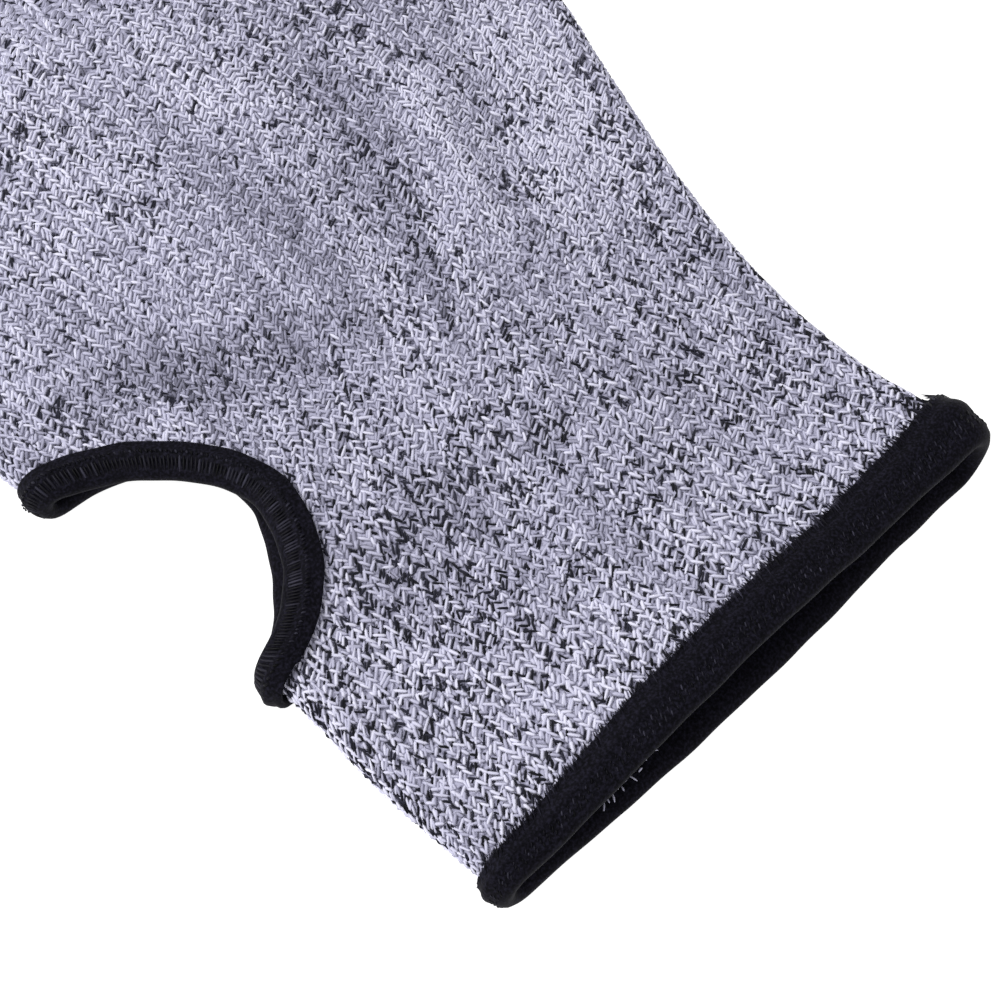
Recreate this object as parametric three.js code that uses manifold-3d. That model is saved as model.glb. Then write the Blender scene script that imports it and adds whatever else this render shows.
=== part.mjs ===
// Cut resistant sleeve: a knitted tube for the forearm with a thumb hole in its side fold, lying flat.
// Millimetres. +Y runs from the hand's mouth to the arm, +X to the right, +Z up, and it lies on z = 0.
import * as THREE from 'three';
import * as BufferGeometryUtils from 'three/addons/utils/BufferGeometryUtils.js';
import Module from 'manifold-3d';

const wasm = await Module();
wasm.setup();

// Driving sizes
const sleeveLength = 450;
const mouthWidth = 94;
const armWidth = 134;
const mouthHeight = 14;
const foldHeight = 8;
const knitWall = 1.4;

// The mouth's raw edge: how much further in its right end lies, and how far each layer bows out between its ends
const mouthSlant = 4.6;
const upperBow = 0.2;
const lowerBow = 0.9;

// The right fold stands open at the mouth: how much taller it is there, how far along that fades, and the share
// of the upper layer's right half that rises to it
const plumpRise = 4;
const plumpRun = 45;
const plumpSpan = 0.6;

// The elastic tape folded round each raw edge of the knit
const tapeWall = 0.75;
const tapeReach = 4.1;
const seatGap = 0.35;

// The thumb hole, measured on the cloth: its middle along the fold, its half length, how deep it goes into the
// upper and the lower layer, and how far the lower layer's half of it lies towards the arm
const thumbFromMouth = 66.5;
const thumbHalfLength = 20.5;
const thumbReach = 21.2;
const thumbUnderReach = 24;
const thumbRoundness = 1.75;
const thumbShear = 5.5;

// The cloth rises over the tape's thickness within this distance of a binding
const liftRun = 14;
const liftHold = 1;

// Sizes that follow from the ones above
const bead = knitWall / 2 + seatGap + tapeWall;
const tapeProud = seatGap + tapeWall;

// The lying tube, row by row. along is a share of the length. flare goes from the mouth's width to the arm's.
// drift is the sideways place of the middle as a share of the mouth's width, crown the height in the middle
// as a share of the mouth's height, and fold the height of the side folds as a share of foldHeight.
const sections = [
  { along: 0.0, flare: 0.015, drift: 0.016, crown: 1.0, fold: 1.0 },
  { along: 0.052, flare: 0.0, drift: -0.004, crown: 0.95, fold: 0.95 },
  { along: 0.097, flare: 0.04, drift: -0.003, crown: 0.88, fold: 0.85 },
  { along: 0.142, flare: 0.21, drift: -0.003, crown: 0.86, fold: 0.82 },
  { along: 0.203, flare: 0.49, drift: 0.015, crown: 0.96, fold: 0.95 },
  { along: 0.233, flare: 0.63, drift: 0.028, crown: 1.03, fold: 1.05 },
  { along: 0.297, flare: 0.83, drift: 0.033, crown: 1.16, fold: 1.25 },
  { along: 0.38, flare: 0.93, drift: 0.022, crown: 1.24, fold: 1.42 },
  { along: 0.56, flare: 0.98, drift: 0.008, crown: 1.27, fold: 1.5 },
  { along: 0.8, flare: 1.0, drift: 0.0, crown: 1.22, fold: 1.45 },
  { along: 1.0, flare: 1.0, drift: 0.0, crown: 1.12, fold: 1.35 },
];

// Soft valleys and ridges of the upper layer, each along a line. across runs from -1 at the left fold to 1 at
// the right one, along is a share of the mouth's distance to the thumb hole's middle, and wide and deep are
// shares of the mouth's width and height. A ridge has a depth below zero.
const dents = [
  { across: -0.88, along: 0.56, toAcross: -0.1, toAlong: 0.58, wide: 0.15, deep: 0.13 },
  { across: -0.72, along: 1.4, toAcross: -0.28, toAlong: 1.16, wide: 0.12, deep: 0.1 },
  { across: 0.1, along: 1.15, toAcross: 0.27, toAlong: 1.75, wide: 0.085, deep: 0.06 },
  { across: 0.38, along: 1.2, toAcross: 0.46, toAlong: 1.5, wide: 0.06, deep: -0.06 },
  { across: 0.6, along: 1.25, toAcross: 0.68, toAlong: 1.6, wide: 0.07, deep: 0.05 },
  { across: -0.1, along: 2.4, toAcross: 0.2, toAlong: 3.6, wide: 0.15, deep: 0.07 },
  { across: -0.5, along: 4.0, toAcross: -0.2, toAlong: 5.2, wide: 0.16, deep: 0.08 },
  { across: 0.5, along: 4.6, toAcross: 0.25, toAlong: 6.2, wide: 0.15, deep: 0.07 },
];

// How the upper layer falls from its crown towards the folds, and how sharply the dents fade there
const crownPower = 1.6;
const dentFadePower = 4;

// How finely the cloth is divided: steps round each quarter of a fold, across each layer and along the sleeve,
// where the rows lie closer towards the hand
const foldSteps = 4;
const upperSteps = 12;
const lowerSteps = 8;
const lengthSteps = 42;
const evenShare = 0.36;
const rowPower = 3;

// Steps round the thumb hole's rim, rings of the body that cuts it, and steps of the tape's section: round its
// bend, and across its sides at an open end and at the thumb hole
const rimSteps = 56;
const patchRings = 9;
const bendSteps = 4;
const edgeSideSteps = 1;
const thumbSideSteps = 2;

// The small steps that slopes are measured over, in millimetres on the cloth and in radians round the rim
const slopeStep = 0.05;
const rimSlopeStep = 0.02;
const mergeDistance = 1e-4;

function smooth(x) {
  const t = Math.min(Math.max(x, 0), 1);
  return t * t * (3 - 2 * t);
}

// Reads a column of the sections table at a distance from the mouth, on a curve through its rows
function sectionAt(distance) {
  const along = Math.min(Math.max(distance / sleeveLength, 0), 1);
  let i = 0;
  while (i < sections.length - 2 && sections[i + 1].along < along) {
    i += 1;
  }
  const [before, from, to, after] = [-1, 0, 1, 2].map(
    (k) => sections[Math.min(Math.max(i + k, 0), sections.length - 1)],
  );
  const span = to.along - from.along;
  const t = (along - from.along) / span;
  const read = (column) => {
    const slopeIn = ((to[column] - before[column]) / (to.along - before.along)) * span;
    const slopeOut = ((after[column] - from[column]) / (after.along - from.along)) * span;
    const t2 = t * t;
    const t3 = t2 * t;
    return (
      (2 * t3 - 3 * t2 + 1) * from[column] +
      (t3 - 2 * t2 + t) * slopeIn +
      (3 * t2 - 2 * t3) * to[column] +
      (t3 - t2) * slopeOut
    );
  };
  const width = mouthWidth + (armWidth - mouthWidth) * read('flare');
  const radius = (foldHeight * read('fold')) / 2;
  return { width, radius, middle: mouthWidth * read('drift'), crown: mouthHeight * read('crown') };
}

// One layer's length round the section, from one fold's outermost line to the other's
function layerLength(section) {
  return Math.PI * section.radius + section.width - 2 * section.radius;
}

// A length on the cloth, round the section, as a share of the whole way round
function aroundOf(reach, distance) {
  return reach / (2 * layerLength(sectionAt(distance)));
}

// The slant of the mouth's edge, where across runs from -0.5 at the left fold to 0.5 at the right one
function mouthLine(across) {
  return bead + mouthSlant * (0.5 + across);
}

// How much the cloth rises over the tape, near the mouth, the arm opening and the thumb hole
function liftAt(x, distance, section) {
  const near = (gap) => 1 - smooth((gap - tapeReach - liftHold) / liftRun);
  const foldX = section.middle - section.width / 2;
  const toThumb = Math.hypot(x - foldX, distance - thumbFromMouth) - Math.min(thumbHalfLength, thumbReach);
  const toMouth = distance - mouthLine((x - section.middle) / section.width);
  const nearest = Math.min(toMouth, armEdge() - distance, toThumb);
  return tapeProud * near(nearest);
}

function dentAt(x, distance, section) {
  let depth = 0;
  for (const dent of dents) {
    const half = section.width / 2;
    const fromX = section.middle + dent.across * half;
    const alongX = section.middle + dent.toAcross * half - fromX;
    const fromY = dent.along * thumbFromMouth;
    const alongY = dent.toAlong * thumbFromMouth - fromY;
    const share = ((x - fromX) * alongX + (distance - fromY) * alongY) / (alongX ** 2 + alongY ** 2);
    const t = Math.min(Math.max(share, 0), 1);
    const away = Math.hypot(x - fromX - t * alongX, distance - fromY - t * alongY) / (dent.wide * mouthWidth);
    depth += away < 1 ? dent.deep * mouthHeight * (1 - away ** 2) ** 2 : 0;
  }
  return depth;
}

// The knit's outer surface. around goes from 0 at the left fold over the top to 0.5 at the right fold, and
// back below to 1, evenly along the cloth. distance is measured from the mouth's middle.
function outerPoint(around, distance) {
  const section = sectionAt(distance);
  const { radius, width, middle, crown } = section;
  const turn = around - Math.floor(around);
  const upper = turn < 0.5;
  const path = (upper ? turn * 2 : 2 - turn * 2) * layerLength(section);
  const arc = (Math.PI * radius) / 2;
  const flat = width - 2 * radius;
  let x = path - arc - flat / 2;
  let rise = radius;
  if (path < arc) {
    x = -flat / 2 - radius * Math.cos(path / radius);
    rise = radius * Math.sin(path / radius);
  } else if (path > arc + flat) {
    const rest = (path - arc - flat) / radius;
    x = flat / 2 + radius * Math.sin(rest);
    rise = radius * Math.cos(rest);
  }
  let z = upper ? radius + rise : radius - rise;
  const place = Math.min(Math.abs((2 * x) / flat), 1);
  const plump = plumpRise * (1 - smooth(distance / plumpRun));
  if (path > arc + flat) {
    z *= 1 + plump / (2 * radius);
  } else if (upper && x > 0) {
    z += plump * smooth(1 - (1 - place) / plumpSpan);
  }
  if (upper) {
    z += (crown - 2 * radius) * (1 - place ** 2) ** crownPower;
    z -= dentAt(middle + x, distance, section) * (1 - place ** dentFadePower);
  }
  z += liftAt(middle + x, distance, section);
  return new THREE.Vector3(middle + x, distance, z);
}

// A point held off the outer surface along its normal, outwards where off is above zero
function clothPoint(around, distance, off) {
  const turnStep = aroundOf(slopeStep, distance);
  const point = outerPoint(around, distance);
  const round = outerPoint(around + turnStep, distance).sub(outerPoint(around - turnStep, distance));
  const along = outerPoint(around, distance + slopeStep).sub(outerPoint(around, distance - slopeStep));
  const normal = along.cross(round).normalize();
  return point.addScaledVector(normal, -off);
}

// The knit's raw edge at the mouth: it slants from the left fold to the right one, and bows out between them
function mouthEdge(around) {
  const turn = around - Math.floor(around);
  const section = sectionAt(0);
  const x = outerPoint(turn, 0).x - section.middle;
  const bow = turn < 0.5 ? upperBow : lowerBow;
  return mouthLine(x / section.width) - bow * Math.sin(2 * Math.PI * turn) ** 2;
}

function armEdge() {
  return sleeveLength - bead;
}

// Places round the section, close together on the folds
function placesRound(distance) {
  const section = sectionAt(distance);
  const whole = layerLength(section);
  const arcShare = (Math.PI * section.radius) / 2 / whole;
  const layer = (steps) => {
    const found = [];
    for (let i = 0; i < foldSteps; i += 1) {
      found.push((arcShare * i) / foldSteps);
    }
    for (let i = 0; i < steps; i += 1) {
      found.push(arcShare + ((1 - 2 * arcShare) * i) / steps);
    }
    for (let i = 0; i < foldSteps; i += 1) {
      found.push(1 - arcShare + (arcShare * i) / foldSteps);
    }
    return found;
  };
  return [...layer(upperSteps).map((t) => t / 2), ...layer(lowerSteps).map((t) => 0.5 + t / 2)];
}

// A closed body from rings of points. Each ring closes on itself, and the rings close on each other where
// looped is true. Otherwise the first and last ring are filled to their middle points.
function bodyOfRings(rings, looped) {
  const size = rings[0].length;
  const positions = rings.flat().flatMap((p) => [p.x, p.y, p.z]);
  const index = [];
  const last = looped ? rings.length : rings.length - 1;
  for (let i = 0; i < last; i += 1) {
    const next = (i + 1) % rings.length;
    for (let j = 0; j < size; j += 1) {
      const [a, b] = [i * size + j, i * size + ((j + 1) % size)];
      const [c, d] = [next * size + j, next * size + ((j + 1) % size)];
      index.push(a, b, d, a, d, c);
    }
  }
  return facingOut(positions, index);
}

// Turns a closed body's faces round if they point inwards
function facingOut(positions, index) {
  let volume = 0;
  const corner = (k) => new THREE.Vector3().fromArray(positions, index[k] * 3);
  for (let k = 0; k < index.length; k += 3) {
    volume += corner(k).dot(corner(k + 1).cross(corner(k + 2)));
  }
  if (volume < 0) {
    index.reverse();
  }
  const geometry = new THREE.BufferGeometry();
  geometry.setAttribute('position', new THREE.Float32BufferAttribute(positions, 3));
  geometry.setIndex(index);
  return geometry;
}

function solidOf(geometry) {
  const merged = BufferGeometryUtils.mergeVertices(geometry, mergeDistance);
  return new wasm.Manifold(
    new wasm.Mesh({
      numProp: 3,
      vertProperties: new Float32Array(merged.attributes.position.array),
      triVerts: new Uint32Array(merged.index.array),
    }),
  );
}

function geometryOf(solid) {
  const mesh = solid.getMesh();
  const geometry = new THREE.BufferGeometry();
  geometry.setAttribute('position', new THREE.BufferAttribute(mesh.vertProperties, 3));
  geometry.setIndex(new THREE.BufferAttribute(mesh.triVerts, 1));
  return geometry;
}

// The thumb hole's raw edge on the flat cloth: reach is measured from the left fold over the top, and is
// below zero on the lower layer. grow moves the line outwards into the cloth.
function rimPoint(turn, grow) {
  const line = (angle) => {
    const power = 2 / thumbRoundness;
    const [c, s] = [Math.cos(angle), Math.sin(angle)];
    const reach = (c > 0 ? thumbReach : -thumbUnderReach) * Math.abs(c) ** power;
    const distance = thumbFromMouth + thumbHalfLength * Math.sign(s) * Math.abs(s) ** power;
    return new THREE.Vector2(reach, distance + thumbShear * smooth(-reach / thumbUnderReach));
  };
  const angle = (turn + 0.5 / rimSteps) * 2 * Math.PI;
  const tangent = line(angle + rimSlopeStep).sub(line(angle - rimSlopeStep)).normalize();
  const outward = new THREE.Vector2(tangent.y, -tangent.x);
  return line(angle).addScaledVector(outward, grow);
}

// The tape's section, folded over the raw edge: into is measured from the edge into the cloth, and off from
// the knit's outer surface. Each flat side is divided into steps.
function tapeSection(steps) {
  const middle = -knitWall / 2;
  const inner = knitWall / 2 + seatGap;
  const side = (off, from, to) =>
    Array.from({ length: steps + 1 }, (_, i) => ({ into: from + ((to - from) * i) / steps, off: middle + off }));
  const bend = (radius, from, to) =>
    Array.from({ length: bendSteps - 1 }, (_, i) => {
      const angle = (from + ((to - from) * (i + 1)) / bendSteps) * Math.PI;
      return { into: -radius * Math.sin(angle), off: middle + radius * Math.cos(angle) };
    });
  return [
    ...side(bead, tapeReach, 0),
    ...bend(bead, 0, 1),
    ...side(-bead, 0, tapeReach),
    ...side(-inner, tapeReach, 0),
    ...bend(inner, 1, 0),
    ...side(inner, 0, tapeReach),
  ];
}

// The knitted tube, with the thumb hole cut through both layers of its left fold
function knitTube() {
  const rows = [];
  for (let i = 0; i <= lengthSteps; i += 1) {
    const t = i / lengthSteps;
    rows.push(evenShare * t + (1 - evenShare) * t ** rowPower);
  }
  const layer = (off) =>
    rows.map((share) =>
      placesRound(share * sleeveLength).map((around) => {
        const distance = mouthEdge(around) * (1 - share) + armEdge() * share;
        return clothPoint(around, distance, off);
      }),
    );
  const shell = bodyOfRings([...layer(0), ...layer(-knitWall).reverse()], true);
  const cutMargin = seatGap * 2;
  const offCut = [cutMargin, -knitWall - cutMargin];
  const patch = (off) => {
    const rings = [];
    for (let i = 1; i <= patchRings; i += 1) {
      const ring = [];
      for (let j = 0; j < rimSteps; j += 1) {
        const rim = rimPoint(j / rimSteps, 0);
        const reach = (rim.x * i) / patchRings;
        const distance = thumbFromMouth + ((rim.y - thumbFromMouth) * i) / patchRings;
        ring.push(clothPoint(aroundOf(reach, distance), distance, off));
      }
      rings.push(ring);
    }
    return rings;
  };
  const middleOf = (off) => Array(rimSteps).fill(clothPoint(0, thumbFromMouth, off));
  const cutter = bodyOfRings(
    [middleOf(offCut[0]), ...patch(offCut[0]), ...patch(offCut[1]).reverse(), middleOf(offCut[1])],
    false,
  );
  return geometryOf(solidOf(shell).subtract(solidOf(cutter)));
}

function edgeBinding(edge, inward) {
  const rings = placesRound(edge(0)).map((around) =>
    tapeSection(edgeSideSteps).map(({ into, off }) => clothPoint(around, edge(around) + inward * into, off)),
  );
  return bodyOfRings(rings, true);
}

function thumbBinding() {
  const rings = [];
  for (let j = 0; j < rimSteps; j += 1) {
    rings.push(
      tapeSection(thumbSideSteps).map(({ into, off }) => {
        const place = rimPoint(j / rimSteps, into);
        return clothPoint(aroundOf(place.x, place.y), place.y, off);
      }),
    );
  }
  return bodyOfRings(rings, true);
}

const knitYarn = new THREE.MeshStandardMaterial({ color: 0x9a99aa, roughness: 0.95, metalness: 0 });
const elasticTape = new THREE.MeshStandardMaterial({ color: 0x15161c, roughness: 0.75, metalness: 0 });

const pieces = [
  { name: 'knit_tube', geometry: knitTube(), material: knitYarn },
  { name: 'hand_binding', geometry: edgeBinding(mouthEdge, 1), material: elasticTape.clone() },
  { name: 'thumb_binding', geometry: thumbBinding(), material: elasticTape.clone() },
  { name: 'arm_binding', geometry: edgeBinding(armEdge, -1), material: elasticTape.clone() },
];

// The origin is the middle of the underside
const whole = new THREE.Box3();
for (const piece of pieces) {
  piece.geometry.computeBoundingBox();
  whole.union(piece.geometry.boundingBox);
}
const middle = whole.getCenter(new THREE.Vector3());
const group = new THREE.Group();
for (const piece of pieces) {
  piece.geometry.translate(-middle.x, -middle.y, -whole.min.z);
  const mesh = new THREE.Mesh(piece.geometry, piece.material);
  mesh.name = piece.name;
  group.add(mesh);
}

export default group;
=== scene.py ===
"""Cut resistant sleeve: a knitted tube with a thumb hole, lying flat, seen from the hand's end."""
import math

import bmesh
import bpy
import numpy as np
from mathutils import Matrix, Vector


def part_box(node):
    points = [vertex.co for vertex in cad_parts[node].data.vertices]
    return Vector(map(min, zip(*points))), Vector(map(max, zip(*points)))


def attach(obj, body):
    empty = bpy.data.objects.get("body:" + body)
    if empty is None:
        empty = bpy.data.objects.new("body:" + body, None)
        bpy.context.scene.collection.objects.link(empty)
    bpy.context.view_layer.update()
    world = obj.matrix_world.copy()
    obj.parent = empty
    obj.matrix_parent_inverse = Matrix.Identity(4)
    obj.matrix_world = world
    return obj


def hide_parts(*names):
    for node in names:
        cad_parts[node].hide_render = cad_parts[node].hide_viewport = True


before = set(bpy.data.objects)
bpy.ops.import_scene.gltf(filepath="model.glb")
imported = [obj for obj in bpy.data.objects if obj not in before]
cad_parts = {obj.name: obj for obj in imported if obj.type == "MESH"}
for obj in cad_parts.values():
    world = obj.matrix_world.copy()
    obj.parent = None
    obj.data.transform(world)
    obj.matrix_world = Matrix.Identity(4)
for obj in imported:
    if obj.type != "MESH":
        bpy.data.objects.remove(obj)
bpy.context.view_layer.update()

MM = 0.001

# The sleeve's driving sizes
LENGTH = 450 * MM
MOUTH_WIDTH = 94 * MM
ARM_WIDTH = 134 * MM
MOUTH_HEIGHT = 14 * MM
FOLD_HEIGHT = 8 * MM
KNIT_WALL = 1.4 * MM
MOUTH_SLANT = 4.6 * MM
UPPER_BOW = 0.2 * MM
LOWER_BOW = 0.9 * MM
PLUMP_RISE = 4 * MM
PLUMP_RUN = 45 * MM
PLUMP_SPAN = 0.6
TAPE_WALL = 0.75 * MM
TAPE_REACH = 4.1 * MM
SEAT_GAP = 0.35 * MM
THUMB_FROM_MOUTH = 66.5 * MM
THUMB_HALF_LENGTH = 20.5 * MM
THUMB_REACH = 21.2 * MM
THUMB_UNDER_REACH = 24 * MM
THUMB_ROUNDNESS = 1.75
THUMB_SHEAR = 5.5 * MM
LIFT_RUN = 14 * MM
LIFT_HOLD = 1 * MM
CROWN_POWER = 1.6
DENT_FADE_POWER = 4
BEAD = KNIT_WALL / 2 + SEAT_GAP + TAPE_WALL
TAPE_PROUD = SEAT_GAP + TAPE_WALL

# The lying tube: along is a share of the length, flare goes from the mouth's width to the arm's, drift is a
# share of the mouth's width, crown of its height, and fold of the folds' height
SECTION_COLUMNS = ("along", "flare", "drift", "crown", "fold")
SECTIONS = np.array([
    (0.0, 0.015, 0.016, 1.0, 1.0),
    (0.052, 0.0, -0.004, 0.95, 0.95),
    (0.097, 0.04, -0.003, 0.88, 0.85),
    (0.142, 0.21, -0.003, 0.86, 0.82),
    (0.203, 0.49, 0.015, 0.96, 0.95),
    (0.233, 0.63, 0.028, 1.03, 1.05),
    (0.297, 0.83, 0.033, 1.16, 1.25),
    (0.38, 0.93, 0.022, 1.24, 1.42),
    (0.56, 0.98, 0.008, 1.27, 1.5),
    (0.8, 1.0, 0.0, 1.22, 1.45),
    (1.0, 1.0, 0.0, 1.12, 1.35),
])

# Valleys and ridges of the upper layer, from (across, along) to (to_across, to_along). across runs from -1
# to 1 between the folds, and along is a share of the thumb hole's distance from the mouth
DENTS = (
    dict(across=-0.88, along=0.56, to_across=-0.1, to_along=0.58, wide=0.15, deep=0.13),
    dict(across=-0.72, along=1.4, to_across=-0.28, to_along=1.16, wide=0.12, deep=0.1),
    dict(across=0.1, along=1.15, to_across=0.27, to_along=1.75, wide=0.085, deep=0.06),
    dict(across=0.38, along=1.2, to_across=0.46, to_along=1.5, wide=0.06, deep=-0.06),
    dict(across=0.6, along=1.25, to_across=0.68, to_along=1.6, wide=0.07, deep=0.05),
    dict(across=-0.1, along=2.4, to_across=0.2, to_along=3.6, wide=0.15, deep=0.07),
    dict(across=-0.5, along=4.0, to_across=-0.2, to_along=5.2, wide=0.16, deep=0.08),
    dict(across=0.5, along=4.6, to_across=0.25, to_along=6.2, wide=0.15, deep=0.07),
)

# The knit: wales round the tube at the hand, and at the arm, where the thumb's own wales have joined them;
# how much closer than their mean they lie at the left fold; the courses' pitch at the hand and at the arm
WALES_AT_HAND = 104
WALES_AT_ARM = 128
WALE_CROWDING = 0.12
COURSE_AT_HAND = 1.22 * MM
COURSE_AT_ARM = 1.12 * MM

# Painted shade and painted light on the upper layer: streaks where the marl is made darker, and paler
# where dark is below zero, to stand in for the shading of its folds. From (around, at) to (to_around,
# to_at), with distances from the mouth and widths in mm
PAINTED_SHADING_SPOTS = (
    dict(around=0.14, at=46, to_around=0.13, to_at=38, wide=14, dark=0.24),
    dict(around=0.18, at=50, to_around=0.25, to_at=46, wide=11, dark=0.16),
    dict(around=0.275, at=72, to_around=0.33, to_at=122, wide=8, dark=0.2),
    dict(around=0.06, at=95, to_around=0.19, to_at=78, wide=9, dark=0.28),
    dict(around=0.36, at=104, to_around=0.335, to_at=77, wide=8, dark=-0.22),
    dict(around=0.44, at=104, to_around=0.42, to_at=76, wide=12, dark=-0.22),
    dict(around=0.2, at=140, to_around=0.25, to_at=118, wide=15, dark=-0.12),
    dict(around=0.075, at=13, to_around=0.4, to_at=19, wide=10, dark=-0.12),
    dict(around=0.13, at=115, to_around=0.16, to_at=98, wide=14, dark=-0.12),
)

# The camera of the photograph, in the frame of the sleeve
CAMERA_PLACE = Vector((-114.6, -298.6, 282.1)) * MM
CAMERA_HEADING = math.radians(47.617)
CAMERA_ELEVATION = math.radians(60)
CAMERA_LENS = 82.72
SENSOR = 36.0


def smooth(x):
    t = np.clip(x, 0, 1)
    return t * t * (3 - 2 * t)


def section_at(distance):
    """Width, fold radius, middle and crown of the tube at a distance from the mouth."""
    along = np.clip(distance / LENGTH, 0, 1)
    rows = SECTIONS[:, 0]
    i = np.clip(np.searchsorted(rows, along) - 1, 0, len(rows) - 2)
    before, after = np.maximum(i - 1, 0), np.minimum(i + 2, len(rows) - 1)
    span = rows[i + 1] - rows[i]
    t = (along - rows[i]) / span

    def read(column):
        values = SECTIONS[:, SECTION_COLUMNS.index(column)]
        slope_in = (values[i + 1] - values[before]) / (rows[i + 1] - rows[before]) * span
        slope_out = (values[after] - values[i]) / (rows[after] - rows[i]) * span
        return (
            (2 * t**3 - 3 * t**2 + 1) * values[i]
            + (t**3 - 2 * t**2 + t) * slope_in
            + (3 * t**2 - 2 * t**3) * values[i + 1]
            + (t**3 - t**2) * slope_out
        )

    width = MOUTH_WIDTH + (ARM_WIDTH - MOUTH_WIDTH) * read("flare")
    radius = FOLD_HEIGHT * read("fold") / 2
    return width, radius, MOUTH_WIDTH * read("drift"), MOUTH_HEIGHT * read("crown")


def way_round(distance):
    """The length of cloth round the whole tube."""
    width, radius, _, _ = section_at(distance)
    return 2 * (math.pi * radius + width - 2 * radius)


def arm_edge(around):
    return np.full_like(around, LENGTH - BEAD)


def mouth_line(across):
    return BEAD + MOUTH_SLANT * (0.5 + across)


def lift_at(x, distance, width, middle):
    """How much the cloth rises over the tape near an edge."""
    to_thumb = np.hypot(x - middle + width / 2, distance - THUMB_FROM_MOUTH)
    to_thumb = to_thumb - min(THUMB_HALF_LENGTH, THUMB_REACH)
    to_mouth = distance - mouth_line((x - middle) / width)
    nearest = np.minimum(np.minimum(to_mouth, LENGTH - BEAD - distance), to_thumb)
    return TAPE_PROUD * (1 - smooth((nearest - TAPE_REACH - LIFT_HOLD) / LIFT_RUN))


def dent_at(x, distance, width, middle):
    depth = np.zeros_like(x)
    for dent in DENTS:
        from_x = middle + dent["across"] * width / 2
        along_x = (dent["to_across"] - dent["across"]) * width / 2
        from_y = dent["along"] * THUMB_FROM_MOUTH
        along_y = dent["to_along"] * THUMB_FROM_MOUTH - from_y
        t = ((x - from_x) * along_x + (distance - from_y) * along_y) / (along_x**2 + along_y**2)
        t = np.clip(t, 0, 1)
        away = np.hypot(x - from_x - t * along_x, distance - from_y - t * along_y)
        away = np.clip(away / (dent["wide"] * MOUTH_WIDTH), 0, 1)
        depth += dent["deep"] * MOUTH_HEIGHT * (1 - away**2) ** 2
    return depth


def outer_point(around, distance):
    """The knit's outer surface. around goes from 0 at the left fold over the top to 0.5, and below to 1."""
    width, radius, middle, crown = section_at(distance)
    turn = around - np.floor(around)
    upper = turn < 0.5
    path = np.where(upper, turn * 2, 2 - turn * 2) * (math.pi * radius + width - 2 * radius)
    arc = math.pi * radius / 2
    flat = width - 2 * radius
    rest = path - arc - flat
    left, right = path < arc, rest > 0
    x = path - arc - flat / 2
    x = np.where(left, -flat / 2 - radius * np.cos(path / radius), x)
    x = np.where(right, flat / 2 + radius * np.sin(rest / radius), x)
    rise = np.where(left, radius * np.sin(path / radius), radius)
    rise = np.where(right, radius * np.cos(rest / radius), rise)
    place = np.minimum(np.abs(2 * x / flat), 1)
    z = np.where(upper, radius + rise, radius - rise)
    plump = PLUMP_RISE * (1 - smooth(distance / PLUMP_RUN))
    z = np.where(right, z * (1 + plump / (2 * radius)), z)
    z = z + np.where(upper & ~right & (x > 0), plump * smooth(1 - (1 - place) / PLUMP_SPAN), 0)
    crowned = (crown - 2 * radius) * (1 - place**2) ** CROWN_POWER
    dented = dent_at(middle + x, distance, width, middle) * (1 - place**DENT_FADE_POWER)
    z = z + np.where(upper, crowned - dented, 0) + lift_at(middle + x, distance, width, middle)
    return np.stack([middle + x, distance, z], axis=-1)


# The frame's origin is the middle of the underside, and the arm binding shows where the tube lies in it
arm_low, arm_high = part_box("arm_binding")
ORIGIN = np.array([(arm_low.x + arm_high.x) / 2, arm_high.y - LENGTH, 0])
SLOPE_STEP = 0.05 * MM


def cloth(around, distance, off):
    """Points held off the knit's outer surface along its normal, in the frame, never below the floor."""
    turn_step = SLOPE_STEP / way_round(distance)
    turned = outer_point(around + turn_step, distance) - outer_point(around - turn_step, distance)
    moved = outer_point(around, distance + SLOPE_STEP) - outer_point(around, distance - SLOPE_STEP)
    normal = np.cross(turned, moved)
    normal /= np.linalg.norm(normal, axis=-1, keepdims=True)
    points = outer_point(around, distance) + normal * np.asarray(off)[..., None] + ORIGIN
    points[..., 2] = np.maximum(points[..., 2], 0)
    return points


def mouth_edge(around):
    """The knit's raw edge at the hand's mouth, as a distance for each place round it."""
    turn = around - np.floor(around)
    width, _, middle, _ = section_at(np.zeros_like(turn))
    across = (outer_point(turn, np.zeros_like(turn))[..., 0] - middle) / width
    bow = np.where(turn < 0.5, UPPER_BOW, LOWER_BOW)
    return mouth_line(across) - bow * np.sin(2 * math.pi * turn) ** 2


def rim_line(angle):
    """The thumb hole's raw edge on the flat cloth: reach from the left fold over the top, and distance."""
    power = 2 / THUMB_ROUNDNESS
    c, s = np.cos(angle), np.sin(angle)
    reach = np.where(c > 0, THUMB_REACH, -THUMB_UNDER_REACH) * np.abs(c) ** power
    distance = THUMB_FROM_MOUTH + THUMB_HALF_LENGTH * np.sign(s) * np.abs(s) ** power
    return np.stack([reach, distance + THUMB_SHEAR * smooth(-reach / THUMB_UNDER_REACH)], axis=-1)


# How wide and how thick the tapes are, against the plain tape, where they are pulled or gathered. run is the
# share of the way round
MOUTH_GATHERS = (
    dict(run=0.0, width=0.8, height=1.0),
    dict(run=0.06, width=0.95, height=1.0),
    dict(run=0.16, width=1.2, height=1.0),
    dict(run=0.34, width=1.22, height=1.0),
    dict(run=0.43, width=1.35, height=1.15),
    dict(run=0.485, width=1.65, height=1.5),
    dict(run=0.53, width=1.6, height=1.4),
    dict(run=0.6, width=1.3, height=1.0),
    dict(run=0.88, width=1.25, height=1.0),
    dict(run=0.96, width=0.9, height=1.0),
)
THUMB_GATHERS = (
    dict(run=0.18, width=1.0, height=1.0),
    dict(run=0.25, width=0.9, height=0.9),
    dict(run=0.31, width=0.6, height=0.8),
    dict(run=0.38, width=0.8, height=0.9),
    dict(run=0.45, width=1.0, height=1.0),
    dict(run=0.68, width=1.0, height=1.0),
    dict(run=0.74, width=1.0, height=1.5),
    dict(run=0.79, width=0.9, height=1.0),
)
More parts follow.
